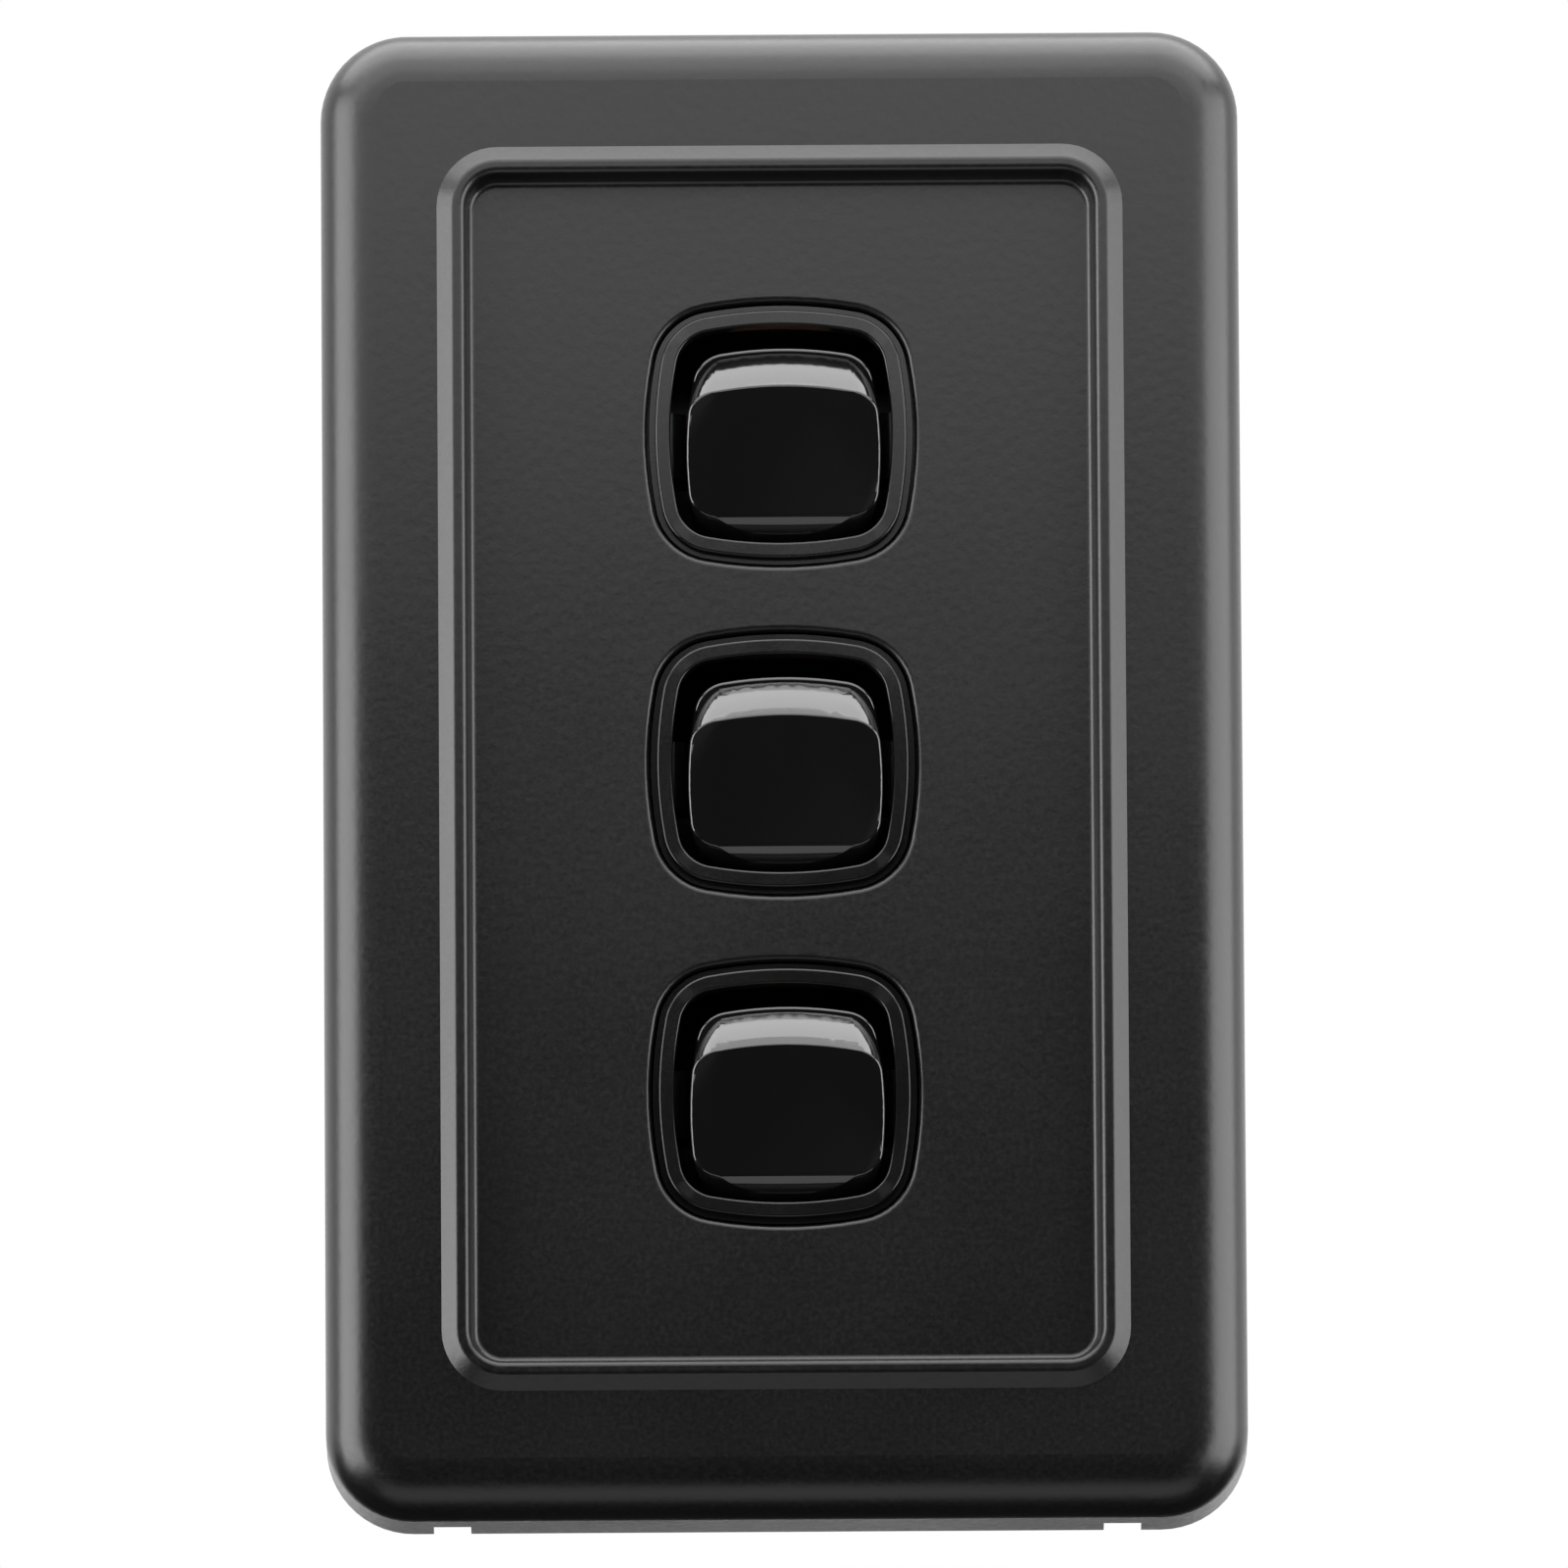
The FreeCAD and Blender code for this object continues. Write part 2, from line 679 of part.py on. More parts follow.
def make_rocker(mechanism):
    """The rocker, drawn upright about its pivot: a flat face with a rolled lower lip, sloping
    flanks, a rim, two cheeks with the pivot pins, and a hollow stem for the plunger."""
    body = new_body(f"rocker_{mechanism}")
    foot = new_sketch(body, f"rocker_foot_{mechanism}", forward="flank_depth")
    bowed_square(foot, "rocker_half - flank_inset", "flank_half", "rocker_bow", "flank_corner")
    face = new_sketch(body, f"rocker_face_{mechanism}", forward="rocker_face")
    face_size = ("rocker_half", "rocker_face_half", "rocker_bow", "rocker_face_corner")
    bowed_square(face, *face_size)
    swell = new_sketch(body, f"rocker_swell_{mechanism}", forward="swell_depth")
    swell_size = ("rocker_half - swell_inset", "swell_half", "rocker_bow", "flank_corner")
    bowed_square(swell, *swell_size)
    dolly = body.newObject("PartDesign::AdditiveLoft", f"rocker_dolly_{mechanism}")
    dolly.Profile = foot
    dolly.Sections = [swell, face]
    doc.recompute()
    lip = new_sketch(body, f"rocker_lip_{mechanism}", role="YZ_Plane")
    lip_depth = "(-rocker_face + lip_drop)"
    roll_y = "(-rocker_face + lip_roll * (1 - cos(lip_slope * 1 deg)))"
    roll_z = "(lip_start + lip_roll * sin(lip_slope * 1 deg))"
    lip_end = f"({roll_z} + ({lip_depth} - {roll_y}) / tan(lip_slope * 1 deg))"
    outline(lip, [
        ("-rocker_face - 1", "-skirt_reach"),
        (lip_depth, "-skirt_reach"),
        (lip_depth, f"-{lip_end}"),
        (roll_y, f"-{roll_z}", "-lip_roll"),
        ("-rocker_face", "-lip_start"),
        ("-rocker_face - 1", "-lip_start"),
    ])
    add_pocket(body, lip, "4 * rocker_half", f"rocker_lip_cut_{mechanism}", both_ways=True)
    near_face = number("-rocker_face + lip_drop")
    round_edges(
        body,
        "rocker_edge",
        f"rocker_rounding_{mechanism}",
        lambda edge: edge.BoundBox.YMax < near_face and edge.BoundBox.ZLength > EXACT,
    )
    rim = new_sketch(body, f"rocker_rim_{mechanism}", forward="rim_back")
    bowed_square(rim, "rocker_half", "rim_half", "rocker_bow", "rim_corner")
    add_pad(body, rim, "rim_depth - rim_back", f"rocker_skirt_{mechanism}")
    round_edges(body, "rim_edge", f"rocker_rim_edge_{mechanism}", at_depth(number("rim_depth")))
    middle = new_sketch(body, f"rocker_middle_{mechanism}", forward="rim_back")
    bowed_square(middle, "rocker_half - flank_inset", "flank_half", "rocker_bow", "flank_corner")
    add_pad(body, middle, "flank_depth - rim_back", f"rocker_neck_{mechanism}")
    wall = "rocker_half - rocker_wall"
    block(
        body,
        f"rocker_hollow_{mechanism}",
        (f"-({wall})", wall),
        ("-rocker_face + rocker_crown_wall", "-rim_back + 1"),
        ("-rocker_face_half + rocker_wall", "rocker_face_half - rocker_wall"),
        cut=True,
    )
    stem = ("-rocker_face + rocker_crown_wall", "stem_end")
    rod(body, f"rocker_stem_{mechanism}", "y", "stem_radius", stem, ("0", "0", "0"))
    bore = ("-stem_bore_front", "stem_end + 1")
    rod(body, f"rocker_bore_{mechanism}", "y", "stem_bore", bore, ("0", "0", "0"), cut=True)
    for side, sign in SIDES:
        depth = ("-rim_back - cheek_overlap", "cheek_back")
        cheek = along(sign, "cheek_inner", "cheek_outer")
        block(body, f"cheek_{side}_{mechanism}", cheek, depth, ("-cheek_half", "cheek_half"))
        pin = along(sign, "cheek_inner", "pin_end")
        rod(body, f"pin_{side}_{mechanism}", "x", "pin_radius", pin, ("0", "0", "0"))
    set_place(body, "side_rest", "pivot_depth", level_of(mechanism), turn="tilt")


def make_plunger(mechanism):
    """The round-nosed pin in the stem, and the coil spring that pushes it, as a sleeve."""
    body = new_body(f"plunger_{mechanism}")
    nose = "plunger_end - plunger_radius"
    rod(body, f"plunger_pin_{mechanism}", "y", "plunger_radius", ("plunger_start", nose), ("0", "0", "0"))
    ball = body.newObject("PartDesign::AdditiveSphere", f"plunger_nose_{mechanism}")
    bind(ball, "Radius", "plunger_radius")
    bind(ball, ".Placement.Base.y", nose)
    set_place(body, "side_rest", "pivot_depth", level_of(mechanism), turn="tilt")
    spring = new_body(f"plunger_spring_{mechanism}")
    span = ("-stem_bore_front", "plunger_start")
    rod(spring, f"spring_outside_{mechanism}", "y", "plunger_radius", span, ("0", "0", "0"))
    rod(spring, f"spring_inside_{mechanism}", "y", "spring_hollow", span, ("0", "0", "0"), cut=True)
    set_place(spring, "side_rest", "pivot_depth", level_of(mechanism), turn="tilt")


def make_moving_contact(mechanism):
    """The see-saw blade, drawn about its pivot line, and its two silver tips."""
    blade = new_body(f"moving_contact_{mechanism}")
    back = "-(fulcrum_radius + contact_play)"
    width = ("-contact_half_width", "contact_half_width")
    depth = (f"{back} - contact_metal", back)
    block(blade, f"blade_{mechanism}", width, depth, ("-contact_half_length", "contact_half_length"))
    doc.recompute()
    half_width = number("contact_half_width")
    round_edges(
        blade,
        "contact_half_width / 2",
        f"blade_ends_{mechanism}",
        lambda edge: abs(edge.BoundBox.YLength - number("contact_metal")) < EXACT
        and abs(edge.BoundBox.XMin) > half_width - EXACT,
    )
    tips = new_body(f"moving_tips_{mechanism}")
    for end, sign in ENDS:
        place = ("0", "0", f"{sign} * silver_place")
        rod(tips, f"tip_{end}_{mechanism}", "y", "silver_radius", (back, f"{back} + silver_height"), place)
    for body in (blade, tips):
        set_place(body, y="fulcrum_depth", z=level_of(mechanism), turn="-contact_tilt")


def make_fixed_tips(mechanism):
    body = new_body(f"fixed_tips_{mechanism}")
    for end, sign in ENDS:
        place = ("0", "0", f"{sign} * silver_place")
        rod(body, f"fixed_{end}_{mechanism}", "y", "silver_radius", ("fixed_front", "strip_front"), place)
    set_place(body, z=level_of(mechanism))


def add_clamp(body, name, side_x, side_z):
    """A square terminal block with a bore for the wire and a cross hole for its clamp screw."""
    x, z = f"({side_x} * terminal_x)", f"({side_z} * terminal_z)"
    depth = ("housing_floor", "housing_back")
    across = (f"{x} - terminal_half", f"{x} + terminal_half")
    block(body, f"clamp_{name}", across, depth, (f"{z} - terminal_half", f"{z} + terminal_half"))
    bore = ("housing_back - wire_depth", "housing_back + 1")
    rod(body, f"wire_bore_{name}", "y", "wire_bore", bore, (x, "0", z), cut=True)
    span = along(side_x, "terminal_x", "terminal_x + terminal_half + 1")
    rod(body, f"clamp_hole_{name}", "x", "clamp_radius", span, ("0", "clamp_depth", z), cut=True)


def make_terminals(mechanism):
    """Two switched terminals, the common with the see-saw's pivot rib, and a spare loop terminal."""
    strip_depth = ("strip_front", "housing_floor")
    for number_of, side_z in ((1, 1), (2, -1)):
        body = new_body(f"terminal_{number_of}_{mechanism}")
        level = f"({side_z} * silver_place)"
        strip = ("-terminal_x - terminal_half", "strip_end")
        span = (f"{level} - strip_half", f"{level} + strip_half")
        block(body, f"strip_{number_of}_{mechanism}", strip, strip_depth, span)
        add_clamp(body, f"{number_of}_{mechanism}", -1, side_z)
        set_place(body, z=level_of(mechanism))

    common = new_body(f"terminal_common_{mechanism}")
    rib = ("-fulcrum_half", "fulcrum_half")
    rib_height = ("-fulcrum_radius", "fulcrum_radius")
    rod(common, f"fulcrum_{mechanism}", "x", "fulcrum_radius", rib, ("0", "fulcrum_depth", "0"))
    block(common, f"rib_{mechanism}", rib, ("fulcrum_depth", "housing_floor"), rib_height)
    edge = "terminal_x + terminal_half"
    block(common, f"rib_foot_{mechanism}", ("-fulcrum_half", edge), strip_depth, rib_height)
    lead = ("-terminal_z - terminal_half", "fulcrum_radius")
    block(common, f"lead_{mechanism}", ("common_start", edge), strip_depth, lead)
    add_clamp(common, f"common_{mechanism}", 1, -1)
    set_place(common, z=level_of(mechanism))

    loop = new_body(f"terminal_loop_{mechanism}")
    add_clamp(loop, f"loop_{mechanism}", 1, 1)
    set_place(loop, z=level_of(mechanism))

    screws = new_body(f"terminal_screws_{mechanism}")
    inner = "terminal_x + wire_bore + clamp_gap"
    neck = "terminal_x + terminal_half"
    end = "housing_half_width - clamp_gap"
    for name, side_x, side_z in CLAMPS:
        place = ("0", "clamp_depth", f"{side_z} * terminal_z")
        shank, head = along(side_x, inner, neck), along(side_x, neck, end)
        rod(screws, f"shank_{name}_{mechanism}", "x", "clamp_radius", shank, place)
        rod(screws, f"head_{name}_{mechanism}", "x", "clamp_head", head, place)
    set_place(screws, z=level_of(mechanism))


def make_barrier(mechanism):
    """The insulating plate that lies over the brass strips, open round the see-saw contact."""
    body = new_body(f"barrier_{mechanism}")
    half_width = "(housing_half_width - housing_wall - barrier_gap)"
    half_height = "(housing_half_height - housing_wall - barrier_gap)"
    block(
        body,
        f"barrier_plate_{mechanism}",
        (f"-{half_width}", half_width),
        ("barrier_front", "strip_front - barrier_gap"),
        (f"-{half_height}", half_height),
    )
    block(
        body,
        f"barrier_window_{mechanism}",
        ("-barrier_window_width / 2", "barrier_window_width / 2"),
        ("barrier_front - 1", "strip_front + 1"),
        ("-barrier_window_height / 2", "barrier_window_height / 2"),
        cut=True,
    )
    set_place(body, z=level_of(mechanism))


def make_housing(mechanism):
    """The moulded base: an open box in front, four terminal chambers behind."""
    body = new_body(f"housing_{mechanism}")
    width = ("-housing_half_width", "housing_half_width")
    height = ("-housing_half_height", "housing_half_height")
    block(body, f"housing_block_{mechanism}", width, ("-grid_floor", "housing_back"), height)
    inner_width = "(housing_half_width - housing_wall)"
    inner_height = "(housing_half_height - housing_wall)"
    block(
        body,
        f"housing_inside_{mechanism}",
        (f"-{inner_width}", inner_width),
        ("-grid_floor - 1", "housing_floor"),
        (f"-{inner_height}", inner_height),
        cut=True,
    )
    room = "(terminal_half + terminal_gap)"
    for name, side_x, side_z in CLAMPS:
        x, z = f"({side_x} * terminal_x)", f"({side_z} * terminal_z)"
        depth = ("housing_floor - 1", "housing_back + 1")
        width = (f"{x} - {room}", f"{x} + {room}")
        height = (f"{z} - {room}", f"{z} + {room}")
        block(body, f"chamber_{name}_{mechanism}", width, depth, height, cut=True)
        span = along(side_x, "terminal_x + terminal_half - housing_wall / 2", "housing_half_width + 1")
        place = ("0", "clamp_depth", z)
        rod(body, f"access_{name}_{mechanism}", "x", "access_radius", span, place, cut=True)
    for side, sign in SIDES:
        lug = along(sign, "housing_half_width", "housing_half_width + lug_reach")
        depth = ("-lug_gap - lug_height", "-lug_gap")
        block(body, f"lug_{side}_{mechanism}", lug, depth, ("-lug_half", "lug_half"))
    set_place(body, z=level_of(mechanism))


# ---- Build, check and write ------------------------------------------------------------------------


make_cover()
make_grid()
make_mounting_screws()
make_clips()
for mechanism in MECHANISMS:
    make_bezel(mechanism)
    make_rocker(mechanism)
    make_plunger(mechanism)
    make_moving_contact(mechanism)
    make_fixed_tips(mechanism)
    make_terminals(mechanism)
    make_barrier(mechanism)
    make_housing(mechanism)
doc.recompute()

for item in doc.Objects:
    if "Invalid" in item.State or "Error" in item.State:
        raise RuntimeError(f"{item.Label} failed: {item.State}")

bodies = [item for item in doc.Objects if item.TypeId == "PartDesign::Body"]
for body in bodies:
    if body.Shape.isNull() or not body.Shape.isValid():
        raise RuntimeError(f"{body.Label} has no valid shape")

os.makedirs("parts", exist_ok=True)
for body in bodies:
    body.Shape.exportStep(f"parts/{body.Label}.step")
    print(body.Label, len(body.Shape.Solids), round(body.Shape.Volume, 2))
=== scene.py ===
import json
import math

import bpy
from mathutils import Matrix, Vector

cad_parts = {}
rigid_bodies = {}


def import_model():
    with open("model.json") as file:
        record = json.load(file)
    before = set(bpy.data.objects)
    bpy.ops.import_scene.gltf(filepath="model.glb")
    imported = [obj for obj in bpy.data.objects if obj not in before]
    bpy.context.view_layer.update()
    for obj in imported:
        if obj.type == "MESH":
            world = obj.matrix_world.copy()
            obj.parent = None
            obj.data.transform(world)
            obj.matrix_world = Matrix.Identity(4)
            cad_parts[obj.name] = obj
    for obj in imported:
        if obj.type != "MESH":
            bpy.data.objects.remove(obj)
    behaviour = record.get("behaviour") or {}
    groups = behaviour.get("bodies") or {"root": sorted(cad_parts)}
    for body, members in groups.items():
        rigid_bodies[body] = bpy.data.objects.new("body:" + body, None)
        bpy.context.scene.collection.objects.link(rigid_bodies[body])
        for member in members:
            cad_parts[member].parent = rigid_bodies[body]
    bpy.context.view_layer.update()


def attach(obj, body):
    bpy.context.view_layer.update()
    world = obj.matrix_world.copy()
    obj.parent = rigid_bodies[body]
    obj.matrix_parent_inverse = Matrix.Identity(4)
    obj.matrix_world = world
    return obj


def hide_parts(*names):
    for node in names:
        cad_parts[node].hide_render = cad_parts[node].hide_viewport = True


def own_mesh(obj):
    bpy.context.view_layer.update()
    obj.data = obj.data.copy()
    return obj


# A three-gang rocker switch with a black clip-on cover. Metres; the front faces -Y, Z points up.

for leftover in list(bpy.data.objects):
    bpy.data.objects.remove(leftover)

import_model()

MM = 0.001
GANGS = {"top": 1, "middle": 0, "bottom": -1}
PITCH = 26 * MM
GROUP_SHIFT = 0.55 * MM
SIDE_REST = 0.2 * MM


# ---- Materials -------------------------------------------------------------------------------


class Shader:
    """One procedural material: a Principled shader with nodes that are fed from object space."""

    def __init__(self, name):
        self.material = bpy.data.materials.get(name) or bpy.data.materials.new(name)
        self.material.use_nodes = True
        self.nodes = self.material.node_tree.nodes
        self.links = self.material.node_tree.links
        self.nodes.clear()
        output = self.nodes.new("ShaderNodeOutputMaterial")
        self.principled = self.nodes.new("ShaderNodeBsdfPrincipled")
        self.links.new(self.principled.outputs["BSDF"], output.inputs["Surface"])
        place = self.nodes.new("ShaderNodeTexCoord")
        self.place = place.outputs["Object"]

    def set(self, **values):
        for key, value in values.items():
            self.principled.inputs[key.replace("_", " ")].default_value = value

    def stretched(self, scale):
        node = self.nodes.new("ShaderNodeMapping")
        node.inputs["Scale"].default_value = scale
        self.links.new(self.place, node.inputs["Vector"])
        return node.outputs["Vector"]

    def noise(self, size, detail=2.0, roughness=0.5, stretch=None, distortion=0.0):
        """Noise whose features are about size across, as a value from 0 to 1."""
        node = self.nodes.new("ShaderNodeTexNoise")
        node.inputs["Scale"].default_value = 1 / size
        node.inputs["Detail"].default_value = detail
        node.inputs["Roughness"].default_value = roughness
        node.inputs["Distortion"].default_value = distortion
        self.links.new(self.stretched(stretch) if stretch else self.place, node.inputs["Vector"])
        return node.outputs["Fac"]

    def cells(self, size):
        node = self.nodes.new("ShaderNodeTexVoronoi")
        node.feature = "SMOOTH_F1"
        node.inputs["Scale"].default_value = 1 / size
        node.inputs["Smoothness"].default_value = 1.0
        self.links.new(self.place, node.inputs["Vector"])
        return node.outputs["Distance"]

    def scaled(self, value, low, high, to_low, to_high):
        node = self.nodes.new("ShaderNodeMapRange")
        for key, number in zip(("From Min", "From Max", "To Min", "To Max"), (low, high, to_low, to_high)):
            node.inputs[key].default_value = number
        self.links.new(value, node.inputs["Value"])
        return node.outputs["Result"]

    def math(self, operation, first, second):
        node = self.nodes.new("ShaderNodeMath")
        node.operation = operation
        for socket, value in zip(node.inputs, (first, second)):
            if isinstance(value, (int, float)):
                socket.default_value = value
            else:
                self.links.new(value, socket)
        return node.outputs["Value"]

    def mixed(self, factor, first, second):
        """A blend of two colours; each is a colour or another node's output."""
        node = self.nodes.new("ShaderNodeMix")
        node.data_type = "RGBA"
        self.links.new(factor, node.inputs["Factor"])
        for key, value in (("A", first), ("B", second)):
            socket = [s for s in node.inputs if s.name == key and s.type == "RGBA"][0]
            if isinstance(value, tuple):
                socket.default_value = (*value, 1.0)
            else:
                self.links.new(value, socket)
        return [s for s in node.outputs if s.type == "RGBA"][0]

    def edges(self, amount):
        """The mask of a painted edge highlight: 0 on flats, up to amount where an edge stands out."""
        geometry = self.nodes.new("ShaderNodeNewGeometry")
        return self.scaled(geometry.outputs["Pointiness"], 0.52, 0.62, 0.0, amount)

    def bumped(self, height, depth, normal=None):
        node = self.nodes.new("ShaderNodeBump")
        node.inputs["Strength"].default_value = 1.0
        node.inputs["Distance"].default_value = depth
        self.links.new(height, node.inputs["Height"])
        if normal:
            self.links.new(normal, node.inputs["Normal"])
        return node.outputs["Normal"]

    def colour(self, value):
        self.links.new(value, self.principled.inputs["Base Color"])

    def roughness(self, value):
        self.links.new(value, self.principled.inputs["Roughness"])

    def normal(self, value):
        self.links.new(value, self.principled.inputs["Normal"])


def powder_coat():
    """Satin black powder coat: a fine pebbled skin, with a painted highlight that makes its sharp edges
    lighter.
    """
    s = Shader("powder_coat")
    s.set(IOR=1.5, Specular_IOR_Level=0.5)
    broad = s.noise(22 * MM, 3.0)
    fleck = s.noise(0.35 * MM, 2.0)
    base = s.mixed(broad, (0.0017, 0.0017, 0.0018), (0.0026, 0.0026, 0.0027))
    base = s.mixed(s.scaled(fleck, 0.45, 0.75, 0.0, 0.5), base, (0.0055, 0.0055, 0.0057))
    # Painted highlight: sharp edges are mixed towards a lighter grey.
    s.colour(s.mixed(s.edges(0.5), base, (0.014, 0.0137, 0.0134)))
    s.roughness(s.math("ADD", s.scaled(fleck, 0.3, 0.7, 0.30, 0.36), s.scaled(broad, 0.3, 0.7, -0.02, 0.02)))
    skin = s.bumped(s.cells(0.75 * MM), 0.010 * MM)
    s.normal(s.bumped(s.noise(0.28 * MM, 2.0), 0.006 * MM, skin))


def moulded(name, dark, light, rough, pebble, relief, coat=0.0):
    """A moulded plastic with a sparked or polished skin, slow flow marks and a painted highlight on its
    edges.
    """
    s = Shader(name)
    s.set(IOR=1.49, Coat_Weight=coat, Coat_Roughness=0.04)
    flow = s.noise(9 * MM, 3.0, stretch=(1.0, 1.0, 0.4), distortion=0.6)
    fine = s.noise(0.16 * MM, 2.0)
    base = s.mixed(flow, dark, light)
    # Painted highlight: sharp edges are mixed towards a lighter copy of the plastic's colour.
    edge_highlight_colour = tuple(min(1.0, channel * 1.5 + 0.01) for channel in light)
    s.colour(s.mixed(s.edges(0.45), base, edge_highlight_colour))
    spread = rough * 0.18
    skin_rough = s.scaled(fine, 0.3, 0.7, rough - spread, rough + spread)
    s.roughness(s.math("ADD", skin_rough, s.scaled(flow, 0.3, 0.7, -spread, spread)))
    skin = s.bumped(s.noise(pebble * MM, 2.0), relief * MM)
    s.normal(s.bumped(fine, relief * MM * 0.4, skin))


def metal(name, clean, dull, rough, brush=(1.0, 14.0, 1.0), relief=0.004, tarnish=0.5):
    """A bare or plated metal: drawn lines one way, tarnish in patches, and a painted highlight that makes the
    edges brighter.
    """
    s = Shader(name)
    s.set(Metallic=1.0)
    patch = s.noise(4 * MM, 4.0, 0.6)
    lines = s.noise(0.9 * MM, 3.0, stretch=brush)
    base = s.mixed(s.scaled(patch, 0.4, 0.75, 0.0, tarnish), clean, dull)
    # Painted highlight: sharp edges are mixed towards a brighter copy of the clean colour.
    s.colour(s.mixed(s.edges(0.6), base, tuple(min(1.0, channel * 1.15) for channel in clean)))
    drawn = s.scaled(lines, 0.3, 0.7, rough * 0.8, rough * 1.2)
    s.roughness(s.math("ADD", drawn, s.scaled(patch, 0.4, 0.8, 0.0, 0.12)))
    s.normal(s.bumped(lines, relief * MM))


powder_coat()
moulded("satin_black", (0.0024, 0.0024, 0.0025), (0.0038, 0.0038, 0.0039), 0.22, 0.5, 0.003)
moulded("gloss_black", (0.0022, 0.0022, 0.0025), (0.0038, 0.0038, 0.0041), 0.10, 3.0, 0.004, coat=0.6)
moulded("grid_plastic", (0.030, 0.030, 0.031), (0.045, 0.045, 0.046), 0.48, 0.4, 0.010)
moulded("housing_plastic", (0.010, 0.010, 0.0105), (0.016, 0.016, 0.0165), 0.42, 0.6, 0.006)
moulded("acetal", (0.66, 0.66, 0.63), (0.74, 0.74, 0.71), 0.30, 0.8, 0.003)
metal("brass", (0.80, 0.58, 0.25), (0.46, 0.30, 0.13), 0.28)
metal("copper_blade", (0.62, 0.32, 0.20), (0.24, 0.12, 0.08), 0.34, brush=(14.0, 1.0, 1.0))
metal("silver_tip", (0.88, 0.87, 0.84), (0.52, 0.50, 0.46), 0.22, brush=(1.0, 1.0, 1.0), tarnish=0.3)
metal("screw_steel", (0.66, 0.67, 0.68), (0.45, 0.44, 0.40), 0.26, brush=(1.0, 6.0, 1.0), tarnish=0.35)
metal("spring_steel", (0.52, 0.52, 0.54), (0.30, 0.29, 0.29), 0.30, tarnish=0.4)


# ---- Pieces in mesh --------------------------------------------------------------------------


def mesh_object(name, points, faces, slot, body, stands_for):
    """A smooth mesh, built in place, that rides on a body and replaces one CAD node."""
    mesh = bpy.data.meshes.new(name)
    mesh.from_pydata([tuple(p) for p in points], [], faces)
    mesh.validate()
    mesh.shade_smooth()
    mesh.materials.append(bpy.data.materials[slot])
    thing = bpy.data.objects.new(name, mesh)
    bpy.context.scene.collection.objects.link(thing)
    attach(thing, body)
    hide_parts(stands_for)
    return thing


def joined(*parts):
    """Several lists of points and faces as one."""
    points, faces = [], []
    for part_points, part_faces in parts:
        first = len(points)
        points += part_points
        faces += [tuple(first + corner for corner in face) for face in part_faces]
    return points, faces


def placed(part, matrix):
    """The same points and faces, moved and turned."""
    return [matrix @ p for p in part[0]], part[1]


def swept(path, radius, sides):
    """Points and faces of a closed round tube along a path."""
    points, faces = [], []
    side = Vector((1.0, 0.0, 0.0))
    for index, here in enumerate(path):
        ahead = path[min(index + 1, len(path) - 1)] - path[max(index - 1, 0)]
        ahead.normalize()
        side = (side - ahead * side.dot(ahead)).normalized()
        other = ahead.cross(side)
        for step in range(sides):
            angle = 2 * math.pi * step / sides
            points.append(here + (side * math.cos(angle) + other * math.sin(angle)) * radius)
    for ring in range(len(path) - 1):
        for step in range(sides):
            following = (step + 1) % sides
            low, high = ring * sides, (ring + 1) * sides
            faces.append((low + step, low + following, high + following, high + step))
    faces.append(tuple(range(sides))[::-1])
    faces.append(tuple((len(path) - 1) * sides + step for step in range(sides)))
    return points, faces


def turned(profile, sides):
    """Points and faces of a closed solid. The profile gives (radius, height) at each angle."""
    points, faces = [], []
    rings = len(profile(0.0))
    for step in range(sides):
        angle = 2 * math.pi * step / sides
        for radius, height in profile(angle):
            points.append(Vector((radius * math.cos(angle), height, radius * math.sin(angle))))
    for step in range(sides):
        near, far = step * rings, ((step + 1) % sides) * rings
        for ring in range(rings - 1):
            faces.append((near + ring, near + ring + 1, far + ring + 1, far + ring))
    faces.append(tuple(step * rings for step in range(sides)))
    faces.append(tuple(step * rings + rings - 1 for step in range(sides))[::-1])
    return points, faces


# ---- Springs of the plungers -----------------------------------------------------------------

TILT = math.radians(11)
PIVOT_DEPTH = -0.6 * MM
SPRING_FRONT = -6.2 * MM
SPRING_BACK = 0.6 * MM
SPRING_TURNS = 7.5
STEPS_PER_TURN = 24
END_CLOSING = 0.11
WIRE_RADIUS = 0.17 * MM
WIRE_SIDES = 10
COIL_RADIUS = 1.35 * MM - WIRE_RADIUS


def coil():
    """The middle line of a spring's wire along +Y: the end turns lie closed, the rest is open."""
    length = SPRING_BACK - SPRING_FRONT - 2 * WIRE_RADIUS
    steps = int(SPRING_TURNS * STEPS_PER_TURN)
    path = []
    for step in range(steps + 1):
        share = step / steps
        rise = share - END_CLOSING * math.sin(2 * math.pi * share)
        depth = SPRING_FRONT + WIRE_RADIUS + length * rise
        angle = 2 * math.pi * SPRING_TURNS * share
        path.append(Vector((COIL_RADIUS * math.cos(angle), depth, COIL_RADIUS * math.sin(angle))))
    return path


def make_spring(gang, row):
    """The spring in one rocker's stem. The plunger shortens the real spring as it slides in; this one keeps
    its length and rides on the rocker's body.
    """
    pivot = Vector((SIDE_REST, PIVOT_DEPTH, GROUP_SHIFT + row * PITCH))
    lean = Matrix.Translation(pivot) @ Matrix.Rotation(TILT, 4, "X")
    points, faces = swept([lean @ p for p in coil()], WIRE_RADIUS, WIRE_SIDES)
    spring = mesh_object(
        f"spring_coil_{gang}", points, faces, "spring_steel", f"rocker_{gang}_body", f"plunger_spring_{gang}"
    )
    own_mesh(spring)


for gang, row in GANGS.items():
    make_spring(gang, row)


# ---- Screws ----------------------------------------------------------------------------------


RINGS_PER_PITCH = 6
TIP_START = 0.8
TIP_RADIUS = 0.25
HEAD_CELLS = 56
HEAD_EDGE = 0.2


